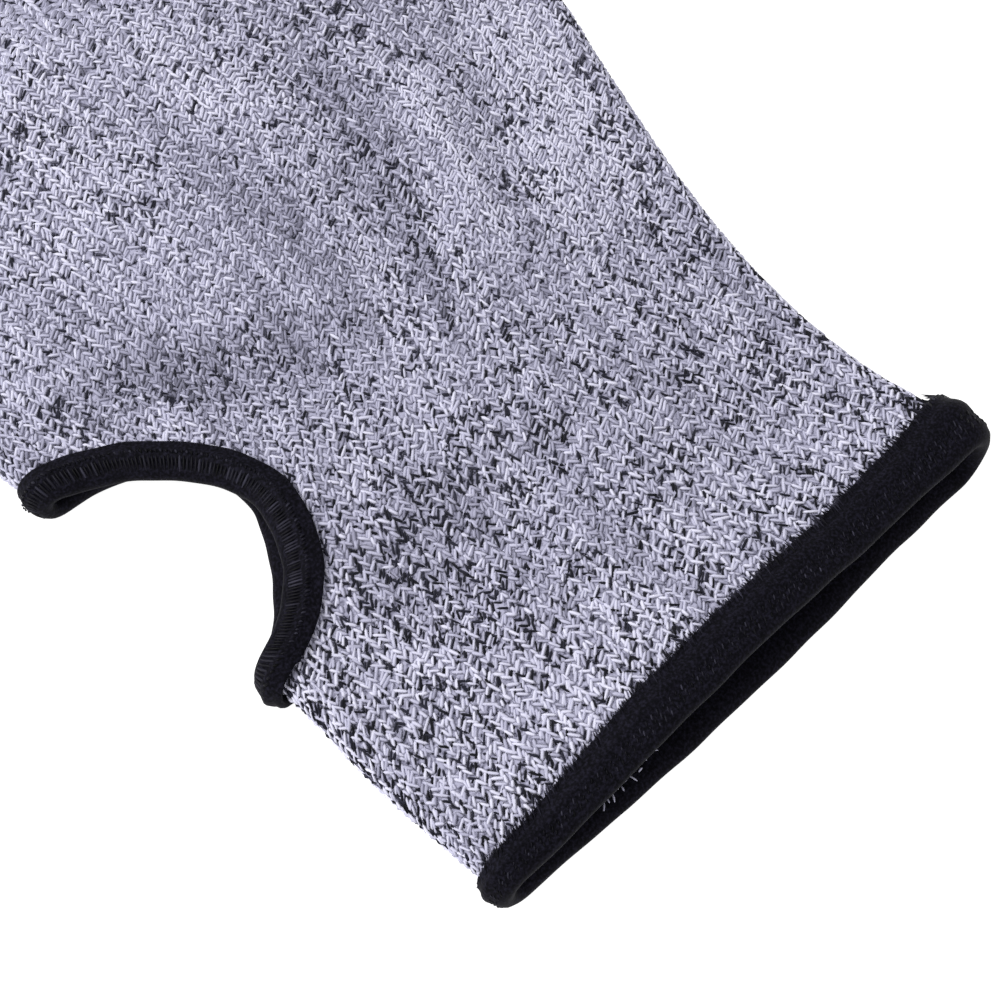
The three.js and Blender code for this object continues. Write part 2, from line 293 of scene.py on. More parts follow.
PLAIN_TAPE = (dict(run=0.0, width=1.0, height=1.0),)

# The thumb hole's rim as a fine line. Depths are measured from every RIM_SKIP-th point of it, places too far
# away for that count as FAR_OUTSIDE, and directions are taken over RIM_TURN to both sides
RIM_STEPS = 720
RIM_SKIP = 6
RIM_TURN = 0.02
FAR_OUTSIDE = 1.0
rim_angles = np.linspace(0, 2 * math.pi, RIM_STEPS + 1)
rim_points = rim_line(rim_angles)
rim_run = np.concatenate([[0], np.cumsum(np.linalg.norm(np.diff(rim_points, axis=0), axis=1))])
RIM_LENGTH = rim_run[-1]


def gathered(gathers, column, run):
    """A tape's width or height at a share of the way round, against the plain tape's."""
    return np.interp(run, [row["run"] for row in gathers], [row[column] for row in gathers], period=1)


def hand_band(run, into):
    """A place on the mouth's tape as one on the cloth, by its share of the way round and its depth."""
    return run, mouth_edge(run) + into * gathered(MOUTH_GATHERS, "width", run)


def arm_band(run, into):
    return run, arm_edge(run) - into


def thumb_band(run, into):
    angle = np.interp((run - np.floor(run)) * RIM_LENGTH, rim_run, rim_angles)
    tangent = rim_line(angle + RIM_TURN) - rim_line(angle - RIM_TURN)
    tangent /= np.linalg.norm(tangent, axis=-1, keepdims=True)
    away = np.stack([tangent[..., 1], -tangent[..., 0]], axis=-1)
    spot = rim_line(angle) + away * (into * gathered(THUMB_GATHERS, "width", run))[..., None]
    return spot[..., 0] / way_round(spot[..., 1]), spot[..., 1]


def rim_depth(around, distance):
    """How far a place on the cloth lies outside the thumb hole's raw edge, and below zero inside it."""
    turn = around - np.round(around)
    reach = turn * way_round(distance)
    near = (np.abs(reach) < 2 * THUMB_REACH) & (np.abs(distance - THUMB_FROM_MOUTH) < 2 * THUMB_HALF_LENGTH)
    depth = np.full(np.shape(reach), FAR_OUTSIDE)
    spots = np.stack([reach[near], distance[near]], axis=-1)
    line = rim_points[:-1:RIM_SKIP]
    away = np.linalg.norm(spots[:, None] - line[None], axis=-1)
    nearest = line[np.argmin(away, axis=1)]
    middle = np.array([0, THUMB_FROM_MOUTH])
    inside = np.linalg.norm(spots - middle, axis=-1) < np.linalg.norm(nearest - middle, axis=-1)
    depth[near] = np.where(inside, -1, 1) * away.min(axis=1)
    return depth


# Materials


def linear(colour):
    """An sRGB hex colour as a linear RGBA value."""
    values = [int(colour[i:i + 2], 16) / 255 for i in (1, 3, 5)]
    return [*(v / 12.92 if v <= 0.04045 else ((v + 0.055) / 1.055) ** 2.4 for v in values), 1]


def add_node(material, kind, links=(), **settings):
    """Adds a node. links are pairs of input and source socket, settings its properties or input values."""
    node = material.node_tree.nodes.new(kind)
    for name, value in settings.items():
        if hasattr(node, name):
            setattr(node, name, value)
        else:
            node.inputs[name.replace("_", " ")].default_value = value
    for name, socket in links:
        material.node_tree.links.new(socket, node.inputs[name])
    return node


def new_material(name, **shader):
    material = bpy.data.materials.new(name)
    material.use_nodes = True
    principled = material.node_tree.nodes["Principled BSDF"]
    for socket, value in shader.items():
        principled.inputs[socket.replace("_", " ")].default_value = value
    return material, principled


def tone_ramp(material, fac, stops):
    ramp = add_node(material, "ShaderNodeValToRGB", [("Fac", fac)])
    elements = ramp.color_ramp.elements
    while len(elements) < len(stops):
        elements.new(0.5)
    for element, (place, colour) in zip(elements, stops):
        element.position = place
        element.color = linear(colour)
    return ramp


def mottle(material, size):
    """Noise with spots as wide as size, in metres on the piece itself."""
    place = add_node(material, "ShaderNodeTexCoord")
    return add_node(
        material, "ShaderNodeTexNoise", [("Vector", place.outputs["Object"])], Scale=1 / size, Detail=2.0
    )


def roughen(material, shader, height, strength, distance):
    bump = add_node(material, "ShaderNodeBump", [("Height", height)], Strength=strength, Distance=distance)
    material.node_tree.links.new(bump.outputs["Normal"], shader.inputs["Normal"])


# The yarn's tone runs from 0, the black ply, to 1, the palest fibre. The ground's, the purl side's and the
# tape's tones are places in a noise, and the thread's is each thread's own, its palest tones partly painted
# highlight
YARN_TONES = ((0.0, "#08080e"), (0.25, "#2a2a38"), (0.5, "#8c8b9f"), (0.75, "#b7b6cb"), (1.0, "#d4d3e4"))
# The ground is darker than the purl side: partly its black ply, partly painted shade between the stitches
GROUND_TONES_WITH_PAINTED_SHADE = ((0.36, "#20202a"), (0.44, "#706f82"), (0.6, "#a6a5ba"))
PURL_TONES = ((0.36, "#2c2c38"), (0.46, "#8a8a9e"), (0.7, "#d8d8ea"))
TAPE_TONES = ((0.35, "#07070b"), (0.5, "#0f0e15"), (0.68, "#1b1a25"))
THREAD_TONES_WITH_PAINTED_HIGHLIGHT = ((0.0, "#050507"), (0.5, "#121118"), (1.0, "#383744"))
FIBRE_WIDTH = 0.35 * MM
FIBRE_SHARE = 0.12


def marled_yarn():
    """Spun yarn of pale and black plies: matt staple fibre with a soft bloom where it turns away."""
    material, shader = new_material(
        "marled_spun_yarn", Roughness=0.9, Specular_IOR_Level=0.15, Sheen_Weight=0.06, Sheen_Roughness=0.5
    )
    tone = add_node(material, "ShaderNodeAttribute", attribute_name="tone")
    # Single fibres are too fine to show, so the mottling is as wide as a ply
    fibres = mottle(material, FIBRE_WIDTH)
    mottled = add_node(
        material,
        "ShaderNodeMath",
        [(0, fibres.outputs["Fac"]), (2, tone.outputs["Fac"])],
        operation="MULTIPLY_ADD",
    )
    mottled.inputs[1].default_value = FIBRE_SHARE
    middle = FIBRE_SHARE / 2
    stops = [(place * (1 - middle) + middle, colour) for place, colour in YARN_TONES]
    ramp = tone_ramp(material, mottled.outputs[0], stops)
    material.node_tree.links.new(ramp.outputs["Color"], shader.inputs["Base Color"])
    roughen(material, shader, fibres.outputs["Fac"], 0.3, 0.05 * MM)
    return material


def knit_ground_with_painted_shade():
    """The yarn behind the outer stitches: the same plies, darker than the purl side partly for their black
    ply and partly as painted shade between the stitches.
    """
    material, shader = new_material("knit_ground_yarn", Roughness=0.95, Specular_IOR_Level=0.1)
    spots = mottle(material, 0.8 * MM)
    ramp = tone_ramp(material, spots.outputs["Fac"], GROUND_TONES_WITH_PAINTED_SHADE)
    material.node_tree.links.new(ramp.outputs["Color"], shader.inputs["Base Color"])
    roughen(material, shader, spots.outputs["Fac"], 0.5, 0.2 * MM)
    return material


PURL_WALE = 2.3 * MM
PURL_COURSE = 1.15 * MM
# The map's left half is the outer side and its right half the inner one, each about as wide as the way round
MAPPED_WIDTH = 250 * MM * 2


def purl_side(wale_width, course_height):
    """The knit's wrong side: rows of purl bumps, paler than the outer side. Sizes are those on the map."""
    material, shader = new_material("knit_purl_yarn", Roughness=0.95, Specular_IOR_Level=0.1)
    map_place = add_node(material, "ShaderNodeUVMap", uv_map=MAP_NAME)
    rows = add_node(
        material,
        "ShaderNodeTexWave",
        [("Vector", map_place.outputs["UV"])],
        bands_direction="Y",
        Scale=math.pi / 10 / course_height,
        Distortion=1.5,
        Detail_Scale=1 / wale_width,
    )
    spots = mottle(material, 0.7 * MM)
    ramp = tone_ramp(material, spots.outputs["Fac"], PURL_TONES)
    material.node_tree.links.new(ramp.outputs["Color"], shader.inputs["Base Color"])
    roughen(material, shader, rows.outputs["Fac"], 0.6, 0.3 * MM)
    return material


def elastic_tape():
    """Black nylon elastic, woven and brushed: matt near-black with a faint navy bloom."""
    material, shader = new_material(
        "black_nylon_elastic", Roughness=0.65, Specular_IOR_Level=0.03, Sheen_Weight=0.01
    )
    weave = mottle(material, 0.4 * MM)
    ramp = tone_ramp(material, weave.outputs["Fac"], TAPE_TONES)
    material.node_tree.links.new(ramp.outputs["Color"], shader.inputs["Base Color"])
    roughen(material, shader, weave.outputs["Fac"], 0.5, 0.12 * MM)
    return material


def sewing_thread():
    """Black polyester thread: slightly glossy, so that each stitch takes a small light. Its palest tones are
    partly painted highlight.
    """
    material, shader = new_material("black_polyester_thread", Roughness=0.45, Specular_IOR_Level=0.08)
    tone = add_node(material, "ShaderNodeAttribute", attribute_name="tone")
    ramp = tone_ramp(material, tone.outputs["Fac"], THREAD_TONES_WITH_PAINTED_HIGHLIGHT)
    material.node_tree.links.new(ramp.outputs["Color"], shader.inputs["Base Color"])
    return material


# Meshes

MAP_NAME = "OFBake"


def finished(mesh, name, materials, soft=True):
    """Makes a piece of a mesh that is already in place, riding on the sleeve's one body."""
    for material in materials:
        mesh.materials.append(material)
    if soft:
        mesh.shade_smooth()
    else:
        mesh.shade_flat()
    piece = bpy.data.objects.new(name, mesh)
    bpy.context.scene.collection.objects.link(piece)
    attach(piece, "root")
    return piece


def strand_form(sides, rings):
    """One short strand of yarn with its ends at y = -1 and y = 1, an edge on top, and its own map."""
    bm = bmesh.new()
    bmesh.ops.create_uvsphere(bm, u_segments=sides, v_segments=rings, radius=1)
    points = np.array([v.co for v in bm.verts])
    faces = [[v.index for v in f.verts] for f in bm.faces]
    bm.free()
    girth = np.hypot(points[:, 0], points[:, 1])
    turn = np.arctan2(points[:, 1], points[:, 0])
    turn = turn - turn[np.argmax(girth)]
    quarter = math.pi / 2
    form = np.stack([girth * np.cos(turn + quarter), points[:, 2], girth * np.sin(turn + quarter)], axis=-1)
    share = np.round(np.mod(turn / (2 * math.pi), 1), 6) % 1
    corner_map = []
    turned_faces = []
    for face in faces:
        # The swap of y and z above turned the faces inside out
        face = face[::-1]
        ringed = [share[k] for k in face if girth[k] > 1e-6]
        wraps = max(ringed) - min(ringed) > 0.5
        ringed = [s + 1 if wraps and s < 0.5 else s for s in ringed]
        for k in face:
            own = share[k] + 1 if wraps and share[k] < 0.5 else share[k]
            corner_map.append((own if girth[k] > 1e-6 else sum(ringed) / len(ringed), (form[k, 1] + 1) / 2))
        turned_faces.append(face)
    return form, turned_faces, np.array(corner_map)


PLAIN_STRAND = strand_form(3, 2)
FULL_STRAND = strand_form(3, 3)
THREAD = strand_form(4, 4)
# Forms with no more points than this are shaded flat, because smooth shading would darken them
FEW_POINTS = 5
CELL_MARGIN = 0.08


def lay(name, form, strands, place, material):
    """Lays a copy of the form for each strand and joins them. place turns plan places and heights to points.

    strands is a dict of arrays or numbers, with lengths in metres: a and b, the middle in the plan; da and
    db, half the strand's way in it; wa and wb, half its width; low, the height of its middle; rise, half its
    thickness; dip, how far its ends go down; tone. Other keys are left alone.
    """
    shape, faces, corners = form
    count = len(strands["a"])

    def column(key):
        return np.broadcast_to(strands[key], (count,))[:, None]

    x, y, z = (shape[:, k][None] for k in range(3))
    a = column("a") + y * column("da") + x * column("wa")
    b = column("b") + y * column("db") + x * column("wb")
    off = column("low") + z * column("rise") - y**2 * column("dip")
    points = place(a, b, off).reshape(-1, 3)
    starts = (np.arange(count) * len(shape)).tolist()
    mesh = bpy.data.meshes.new(name)
    mesh.from_pydata(points, [], [[start + k for k in face] for start in starts for face in faces])
    # Each strand has a cell of its own in the map
    columns = math.ceil(math.sqrt(count))
    rows = math.ceil(count / columns)
    cell = np.stack([np.arange(count) % columns, np.arange(count) // columns], axis=-1)[:, None]
    corner_map = (cell + corners[None] * (1 - 2 * CELL_MARGIN) + CELL_MARGIN) / np.array([columns, rows])
    mesh.uv_layers.new(name=MAP_NAME).data.foreach_set("uv", corner_map.astype(np.float32).ravel())
    tones = np.repeat(column("tone").ravel(), len(shape)).astype(np.float32)
    mesh.attributes.new("tone", "FLOAT", "POINT").data.foreach_set("value", tones)
    finished(mesh, name, [material], soft=len(shape) > FEW_POINTS)


def blurred(rng, wales, courses, shape):
    """Seeded noise on the knit, about so many wales and courses wide, spread evenly about 0."""
    field = rng.standard_normal(shape)
    across = np.fft.fftfreq(shape[0])[:, None]
    along = np.fft.rfftfreq(shape[1])[None]
    reach = np.exp(-2 * math.pi**2 * ((across * wales) ** 2 + (along * courses) ** 2))
    field = np.fft.irfft2(np.fft.rfft2(field) * reach, s=shape)
    return field / field.std()


# The knit

# A strand's half length is in shares of its way, a little over half, so that neighbours meet. Depths are its
# middle's below the knit's outer surface, and DARK_WIDTH is a dark strand's width against a pale one's
STRAND_HALF_LENGTH = 0.58
STRAND_HALF_WIDTH = 0.37 * MM
STRAND_HALF_THICKNESS = 0.2 * MM
STRAND_DIP = 0.18 * MM
STRANDS_APART = 0.43 * MM
PALE_DEPTH = 0.2 * MM
DARK_DEPTH = 0.28 * MM
DARK_WIDTH = 0.7
GROUND_DEPTH = 0.4 * MM
UNDER_TAPE = TAPE_REACH * 0.75

# How uneven the knit is: neighbouring wales lean to each other by PAIR_SHIFT and the wales wander, in wales,
# the courses sag, in courses, and each strand's ends, width and depth differ
PAIR_SHIFT = 0.08
WANDER = 0.2
SAG = 0.3
ENDS_SPREAD = 0.15
WIDTH_SPREAD = 0.1
DEPTH_SPREAD = 0.03 * MM

# About how many wales and courses wide each unevenness is
CLUSTER_SIZE = (0.5, 0.8)
STREAK_SIZE = (0.6, 8)
PATCH_SIZE = (6, 14)
WANDER_SIZE = (4, 9)
SAG_SIZE = (7, 4)

# The marl: the share of dark strands at the hand; how much less it is from a quarter of the length on, as
# painted light that makes the far part paler; and how much it differs in small clusters, along the wales
# and in patches
DARK_SHARE = 0.35
DARK_DROP_PAINTED_LIGHT = 0.15
DARK_CLUSTERS = 0.1
DARK_STREAKS = 0.05
DARK_PATCHES = 0.06
# The dark strands' tones, and how much paler they are from a third of the length on
DARK_TONES = (0.0, 0.22)
DARK_FADING = 0.14
# How much the pale strands' tones differ: from strand to strand, in patches, along the wales, and in the
# painted shade and light of the spots
PALE_SPREAD = 0.1
PALE_PATCHES = 0.04
PALE_STREAKS = 0.05
PALE_PAINTED_SHADING = 0.5
PALE_LIMITS = (0.35, 1)

# A stitch is a point turned to the arm: two strands side by side rise to it and one falls from it. x is in
# wales and y in courses. side is how far a strand lies beside its line, girth its width against the others',
# dark how often it is dark against the marl's share, pale its tone where it isn't, and both says whether the
# underside has it too
LEGS = (
    dict(
        from_x=0.0, to_x=0.64, from_y=0.0, to_y=1.04,
        side=0.5, girth=1.0, dark=0.6, pale=0.77, both=True,
    ),
    dict(
        from_x=0.0, to_x=0.64, from_y=0.0, to_y=1.04,
        side=-0.5, girth=1.0, dark=1.5, pale=0.7, both=False,
    ),
    dict(
        from_x=0.61, to_x=1.03, from_y=1.1, to_y=-0.14,
        side=0.0, girth=1.1, dark=0.8, pale=0.78, both=True,
    ),
)


def course_lines():
    """Each course's distance from the mouth's lowest edge."""
    lines = [0.0]
    while lines[-1] < LENGTH:
        share = float(smooth(lines[-1] / (LENGTH / 2)))
        lines.append(lines[-1] + COURSE_AT_HAND + (COURSE_AT_ARM - COURSE_AT_HAND) * share)
    return np.array(lines)


def wales_at(distance):
    """How many wales there are round the tube at a distance from the mouth."""
    past = distance - THUMB_FROM_MOUTH + THUMB_HALF_LENGTH
    return WALES_AT_HAND + (WALES_AT_ARM - WALES_AT_HAND) * smooth(past / (2 * THUMB_HALF_LENGTH))


def around_at(wale, distance):
    """Where a wale, counted from the right fold, lies as a share of the way round."""
    turn = 0.5 + wale / wales_at(distance)
    return turn - WALE_CROWDING / (2 * math.pi) * np.sin(2 * math.pi * turn)


def painted_shading_at(around, distance):
    """How much darker the marl runs at places on the upper layer: painted shade, and painted light below
    zero.
    """
    dark = np.zeros_like(distance)
    round_way = way_round(distance)
    for spot in PAINTED_SHADING_SPOTS:
        along_x = (spot["to_around"] - spot["around"]) * round_way
        along_y = (spot["to_at"] - spot["at"]) * MM
        x = (around - spot["around"]) * round_way
        y = distance - spot["at"] * MM
        t = np.clip((x * along_x + y * along_y) / (along_x**2 + along_y**2), 0, 1)
        away = np.hypot(x - t * along_x, y - t * along_y)
        dark += spot["dark"] * (1 - smooth(away / (spot["wide"] * MM)))
    return dark


def stitch_strands():
    """Every strand of every stitch, as lay() takes them, with the darkness of the marl and its painted shade
    and light worked out.
    """
    rng = np.random.default_rng(11)
    lines = course_lines()
    shape = (WALES_AT_ARM, len(lines))
    row, course = np.indices(shape).reshape(2, -1)
    wale = row - WALES_AT_ARM // 2
    there = np.abs(wale + 0.5) < wales_at(lines[course]) / 2
    row, wale, course = row[there], wale[there], course[there]
    pair = np.where(wale % 2 == 0, 1, -1) * PAIR_SHIFT
    course_height = np.gradient(lines)[course]
    clusters = blurred(rng, *CLUSTER_SIZE, shape)[row, course]
    streaks = blurred(rng, *STREAK_SIZE, shape)[row, course]
    patches = blurred(rng, *PATCH_SIZE, shape)[row, course]
    wander = WANDER * blurred(rng, *WANDER_SIZE, shape)[row, course]
    sag = SAG * blurred(rng, *SAG_SIZE, shape)[row, course] * course_height
    base = lines[course] + sag
    cloth_width = way_round(base)
    # Painted shade and painted light: the spots make the marl darker in some streaks and paler in others
    spots = painted_shading_at(around_at(wale + wander, base), base)
    # From a quarter of the length on, fewer dark strands: painted light that makes the far part paler
    dark = DARK_SHARE - DARK_DROP_PAINTED_LIGHT * smooth(base / (LENGTH / 4)) + spots
    dark += DARK_CLUSTERS * clusters + DARK_STREAKS * streaks + DARK_PATCHES * patches
    faded = DARK_FADING * smooth(base / (LENGTH / 3))
    legs = []
    for leg in LEGS:
        from_x, to_x, from_y, to_y = rng.normal(0, ENDS_SPREAD, (4, len(wale)))
        from_y = base + (leg["from_y"] + from_y) * course_height
        to_y = base + (leg["to_y"] + to_y) * course_height
        from_x = around_at(wale + wander + pair + (leg["from_x"] + from_x) * (1 - 2 * pair), base)
        to_x = around_at(wale + wander + pair + (leg["to_x"] + to_x) * (1 - 2 * pair), base)
        run_x = (to_x - from_x) * cloth_width
        run_y = to_y - from_y
        length = np.hypot(run_x, run_y)
        cross_x, cross_y = run_y / length, -run_x / length
        aside = -leg["side"] * STRANDS_APART
        is_dark = rng.random(len(wale)) < dark * leg["dark"]
        half_width = STRAND_HALF_WIDTH * leg["girth"] * rng.normal(1, WIDTH_SPREAD, len(wale))
        half_width *= np.where(is_dark, DARK_WIDTH, 1)
        pale_tone = leg["pale"] + rng.normal(0, PALE_SPREAD, len(wale))
        # The pale strands take the spots' painted shade and light as well
        pale_tone += PALE_PATCHES * patches + PALE_STREAKS * streaks - PALE_PAINTED_SHADING * spots
        depth = np.where(is_dark, DARK_DEPTH, PALE_DEPTH) - rng.normal(0, DEPTH_SPREAD, len(wale))
        dark_tone = rng.uniform(*DARK_TONES, len(wale)) + faded
        legs.append(dict(
            a=(from_x + to_x) / 2 + cross_x * aside / cloth_width,
            b=(from_y + to_y) / 2 + cross_y * aside,
            da=(to_x - from_x) * STRAND_HALF_LENGTH,
            db=run_y * STRAND_HALF_LENGTH,
            wa=cross_x * half_width / cloth_width,
            wb=cross_y * half_width,
            low=-depth,
            rise=np.full(len(wale), STRAND_HALF_THICKNESS),
            dip=np.full(len(wale), STRAND_DIP),
            tone=np.where(is_dark, dark_tone, np.clip(pale_tone, *PALE_LIMITS)),
            below=np.full(len(wale), leg["both"]),
        ))
    return {key: np.concatenate([leg[key] for leg in legs]) for key in legs[0]}


def knit_stitches(material):
    """The stitches in stretches along the sleeve: full strands on top near the hand, and else plain ones."""
    strands = stitch_strands()
    shown = strands["b"] > mouth_edge(strands["a"]) + UNDER_TAPE
    shown &= strands["b"] < arm_edge(strands["a"]) - UNDER_TAPE
    shown &= rim_depth(strands["a"], strands["b"]) > UNDER_TAPE
    upper = np.mod(strands["a"], 1) < 0.5
    share = strands["b"] / LENGTH
    stretches = (
        ("top_hand", upper, 0, 0.16, FULL_STRAND),
        ("top_wrist", upper, 0.16, 0.32, FULL_STRAND),
        ("top_forearm", upper, 0.32, 0.66, PLAIN_STRAND),
        ("top_arm", upper, 0.66, 1.1, PLAIN_STRAND),
        ("under_hand", ~upper & strands["below"], 0, 0.5, PLAIN_STRAND),
        ("under_arm", ~upper & strands["below"], 0.5, 1.1, PLAIN_STRAND),
    )
    for name, layer, low, high, form in stretches:
        keep = shown & layer & (share >= low) & (share < high)
        some = {key: value[keep] for key, value in strands.items()}
        lay(f"knit_stitches_{name}", form, some, cloth, material)


GROUND_ROWS = 180
HOLE_CUT = 1.2 * MM
NEAR_HOLE = 5 * MM
MAP_MARGIN = 0.01


def knit_shell(outer_material, inner_material):
    """The knit's wall: a flat sheet with the thumb hole cut out, made thick, wrapped round and closed."""
    cloth_width = float(way_round(np.array(LENGTH)))
    wall = KNIT_WALL - GROUND_DEPTH
    bm = bmesh.new()
    bmesh.ops.create_grid(bm, x_segments=WALES_AT_HAND, y_segments=GROUND_ROWS, size=0.5)
    bmesh.ops.scale(bm, vec=(cloth_width, LENGTH, 1), verts=bm.verts)

    def plan(points):
        around = points[:, 0] / cloth_width
        start = mouth_edge(around)
        return around, start + (arm_edge(around) - start) * (points[:, 1] / LENGTH + 0.5)

    def depths():
        return rim_depth(*plan(np.array([v.co for v in bm.verts]))) - HOLE_CUT

    depth = depths()
    cut = [f for f in bm.faces if sum(depth[v.index] for v in f.verts) < 0]
    bmesh.ops.delete(bm, geom=cut, context="FACES")
    bm.verts.index_update()
    depth = depths()
    edge_of_hole = [v for v in bm.verts if v.is_boundary and abs(depth[v.index]) < NEAR_HOLE]
    middle = Vector((0, THUMB_FROM_MOUTH - LENGTH / 2, 0))
    for v in edge_of_hole:
        v.co += (middle - v.co).normalized() * float(depth[v.index])
    bmesh.ops.solidify(bm, geom=list(bm.faces), thickness=-wall)
    bm.normal_update()
    # The walls along the seam go, so that the wrapped sheet closes to a tube
    seam = [f for f in bm.faces if all(abs(v.co.x) > cloth_width / 2 * 0.999999 for v in f.verts)]
    bmesh.ops.delete(bm, geom=seam, context="FACES_ONLY")
    layer = bm.loops.layers.uv.new(MAP_NAME)
    top = max(v.co.z for v in bm.verts)
    for face in bm.faces:
        inner = all(v.co.z < top - wall / 2 for v in face.verts)
        face.material_index = int(inner)
        for loop in face.loops:
            # The rims' faces are laid out beyond the edges in the map, as wide as the wall is thick
            spot = loop.vert.co.copy()
            if not inner and spot.z < top - wall / 2:
                spot += face.normal * wall
            across = (spot.x / cloth_width + 0.5) * (1 - 4 * MAP_MARGIN) + 2 * MAP_MARGIN
            along = (spot.y / LENGTH + 0.5) * (1 - 2 * MAP_MARGIN) + MAP_MARGIN
            loop[layer].uv = (across / 2 + inner / 2, along)
    points = np.array([v.co for v in bm.verts])
    wrapped = cloth(*plan(points), points[:, 2] - top - GROUND_DEPTH)
    for v, place in zip(bm.verts, wrapped):
        v.co = place
    bmesh.ops.remove_doubles(bm, verts=bm.verts, dist=0.01 * MM)
    mesh = bpy.data.meshes.new("knit_shell")
    bm.to_mesh(mesh)
    bm.free()
    return finished(mesh, "knit_shell", [outer_material, inner_material])


# The bindings

# The tape's section: into is the depth from the knit's raw edge in shares of the tape's reach, and height is
# measured from the middle of the knit in shares of the bead
TAPE_SECTION = (
    dict(into=1.0, height=0.5),
    dict(into=1.03, height=0.7),
    dict(into=0.97, height=0.84),
    dict(into=0.87, height=0.88),
    dict(into=0.77, height=0.94),
    dict(into=0.66, height=1.08),
    dict(into=0.54, height=1.17),
    dict(into=0.42, height=1.18),
    dict(into=0.31, height=1.1),
    dict(into=0.21, height=0.97),
    dict(into=0.08, height=0.92),
    dict(into=-0.12, height=0.84),
    dict(into=-0.28, height=0.6),
    dict(into=-0.36, height=0.3),
    dict(into=-0.38, height=0.0),
    dict(into=-0.36, height=-0.3),
    dict(into=-0.28, height=-0.6),
    dict(into=-0.12, height=-0.84),
    dict(into=0.1, height=-0.95),
    dict(into=0.4, height=-0.98),
    dict(into=0.7, height=-1.0),
    dict(into=0.95, height=-0.95),
    dict(into=1.03, height=-0.75),
    dict(into=1.0, height=-0.5),
    dict(into=0.6, height=-0.45),
    dict(into=0.2, height=-0.45),
    dict(into=0.2, height=0.45),
    dict(into=0.6, height=0.45),
)

# The tapes' slight waves: how many there are on the way round, and how much they change the tape's thickness
# and move it sideways
WAVE_COUNTS = (2, 3, 5, 8, 13, 21)
WAVE_THICKNESS = 0.02
WAVE_WIDTH = 0.05 * MM
TAPE_STEP = 0.8 * MM


def tape(name, band, gathers, length, seed, node, material):
    """A folded tape: its section turned once round, then laid along the band with slight waves in it."""
    steps = round(length / TAPE_STEP)
    # The ring's radius only keeps the section clear of the axis that it turns on
    ring = 1.0
    rng = np.random.default_rng(seed)
    bm = bmesh.new()
    corners = [
        bm.verts.new((ring + row["into"] * TAPE_REACH, 0, row["height"] * BEAD)) for row in TAPE_SECTION
    ]
    edges = [bm.edges.new(pair) for pair in zip(corners, corners[1:] + corners[:1])]
    section = np.array([(v.co.x - ring, v.co.z) for v in corners])
    section_share = np.arange(len(section)) / len(section)
    turn = dict(cent=(0, 0, 0), axis=(0, 0, 1), angle=2 * math.pi, steps=steps, use_merge=True)
    bmesh.ops.spin(bm, geom=corners + edges, **turn)
    bm.verts.index_update()
    points = np.array([v.co for v in bm.verts])
    run = np.mod(np.arctan2(points[:, 1], points[:, 0]) / (2 * math.pi), 1)
    # The first column can read as just under a whole turn
    run = np.where(run > 1 - 0.25 / steps, 0, run)
    into = np.hypot(points[:, 0], points[:, 1]) - ring
    places = np.stack([into, points[:, 2]], axis=-1)
    share = section_share[np.argmin(np.linalg.norm(places[:, None] - section[None], axis=-1), axis=1)]
    layer = bm.loops.layers.uv.new(MAP_NAME)
    for face in bm.faces:
        loops = list(face.loops)
        runs = [run[loop.vert.index] for loop in loops]
        shares = [share[loop.vert.index] for loop in loops]
        for loop, u, v in zip(loops, runs, shares):
            u = u + 1 if max(runs) - min(runs) > 0.5 and u < 0.5 else u
            v = v + 1 if max(shares) - min(shares) > 0.5 and v < 0.5 else v
            loop[layer].uv = (u, v)
    wave = sum(
        rng.uniform(0.3, 1) * np.sin(2 * math.pi * (run * count + rng.random()))
        for count in WAVE_COUNTS
    )
    outer = points[:, 2] > 0
    height = points[:, 2] * (1 + WAVE_THICKNESS * wave * outer)
    height = height * np.where(outer, gathered(gathers, "height", run), 1) - KNIT_WALL / 2
    laid = cloth(*band(run, into + WAVE_WIDTH * wave), height)
    for v, place in zip(bm.verts, laid):
        v.co = place
    bmesh.ops.recalc_face_normals(bm, faces=bm.faces)
    mesh = bpy.data.meshes.new(name)
    bm.to_mesh(mesh)
    bm.free()
    piece = finished(mesh, name, [material])
    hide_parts(node)


OUTER_SIDE = [row for row in TAPE_SECTION if row["height"] > 0.5 and row["into"] != 1.0]
KNIT_BEYOND = dict(into=1.12, height=KNIT_WALL / 2 / BEAD)

# The rows of threads across the tapes, in mm. lean is a share of a thread's length, and spread says how much
# the threads differ
EDGE_THREADS = dict(
    form=PLAIN_STRAND,
    pitch=0.42, into=4.1, half_length=0.95, half_width=0.2, height=0.1, lean=0.5, spread=0.35,
)
STITCH_ROW = dict(
    form=THREAD,
    pitch=1.1, half_length=0.34, half_width=0.12, height=0.08, lean=0.8, spread=0.2,
)
STITCH_ROWS_INTO = (0.85, 0.3, -0.25)
THUMB_RIBS = dict(
    form=THREAD,
    pitch=0.5, into=0.4, half_length=1.3, half_width=0.2, height=0.05, lean=0.15, spread=0.08,
)
THUMB_STITCH_ROW = dict(
    form=THREAD,
    pitch=0.62, into=2.15, half_length=0.36, half_width=0.16, height=0.1, lean=0.5, spread=0.2,
)
# How much the threads differ in place, in pitches, in depth, in half lengths, and in tone; how thick they
# are and how far their ends go down, in half widths
PLACE_SPREAD = 0.06
INTO_SPREAD = 0.4
THREAD_TONE = 0.45
THREAD_TONE_SPREAD = 0.2
THREAD_RISE = 0.8
THREAD_DIP = 0.9
# Threads lower than this over the floor lie between the tape and the floor
PRESSED = 0.4 * MM


def tape_top(into, thickness):
    """The height of the tape's outer side over the knit, and the knit's own beyond the tape."""
    rows = sorted([*OUTER_SIDE, KNIT_BEYOND], key=lambda row: row["into"])
    height = np.interp(into / TAPE_REACH, [row["into"] for row in rows], [row["height"] for row in rows])
    return height * BEAD * thickness - KNIT_WALL / 2


